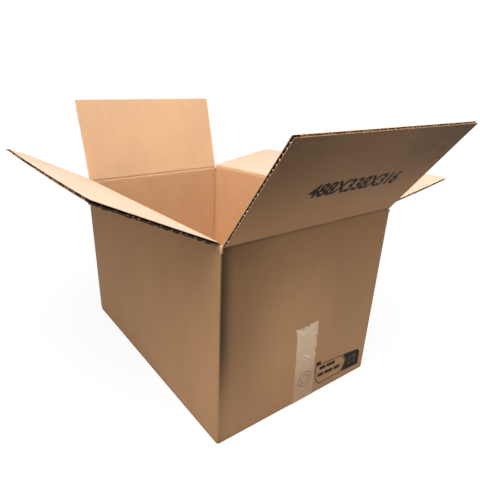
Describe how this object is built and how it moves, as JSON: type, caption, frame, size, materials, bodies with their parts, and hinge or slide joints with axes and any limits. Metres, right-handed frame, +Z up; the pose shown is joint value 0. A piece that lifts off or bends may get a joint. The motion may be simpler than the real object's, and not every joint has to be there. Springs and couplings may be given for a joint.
{
  "type": "open cardboard box",
  "caption": "Open corrugated cardboard box with its top flaps folded back on creases and its bottom seam taped.",
  "frame": {"origin": "centre of the underside, on the plane that the box stands on", "axes": "+Z up, +Y across the width towards the right flap, +X along the length towards the taped front end"},
  "size_m": [0.6281, 0.6512, 0.4742],
  "materials": {
    "board": "matte",
    "tape": "satin"
  },
  "bodies": {
    "carton": {"carton_body": "board", "bottom_tape": "tape"},
    "left_flap": {"left_flap": "board"},
    "right_flap": {"right_flap": "board"},
    "front_flap": {"front_flap": "board"},
    "back_flap": {"back_flap": "board"}
  },
  "joints": [
    {"name": "left_flap_crease", "type": "hinge", "parent": "carton", "child": "left_flap", "pos_m": [0, -0.168, 0.3155], "axis": [-1, 0, 0], "range_deg": [-87, 153]},
    {"name": "right_flap_crease", "type": "hinge", "parent": "carton", "child": "right_flap", "pos_m": [0, 0.168, 0.3155], "axis": [1, 0, 0], "range_deg": [-69.2, 170.8]},
    {"name": "front_flap_crease", "type": "hinge", "parent": "carton", "child": "front_flap", "pos_m": [0.243, 0, 0.3112], "axis": [0, -1, 0], "range_deg": [-113.9, 126.1]},
    {"name": "back_flap_crease", "type": "hinge", "parent": "carton", "child": "back_flap", "pos_m": [-0.243, 0, 0.3112], "axis": [0, 1, 0], "range_deg": [-135.6, 104.4]}
  ]
}
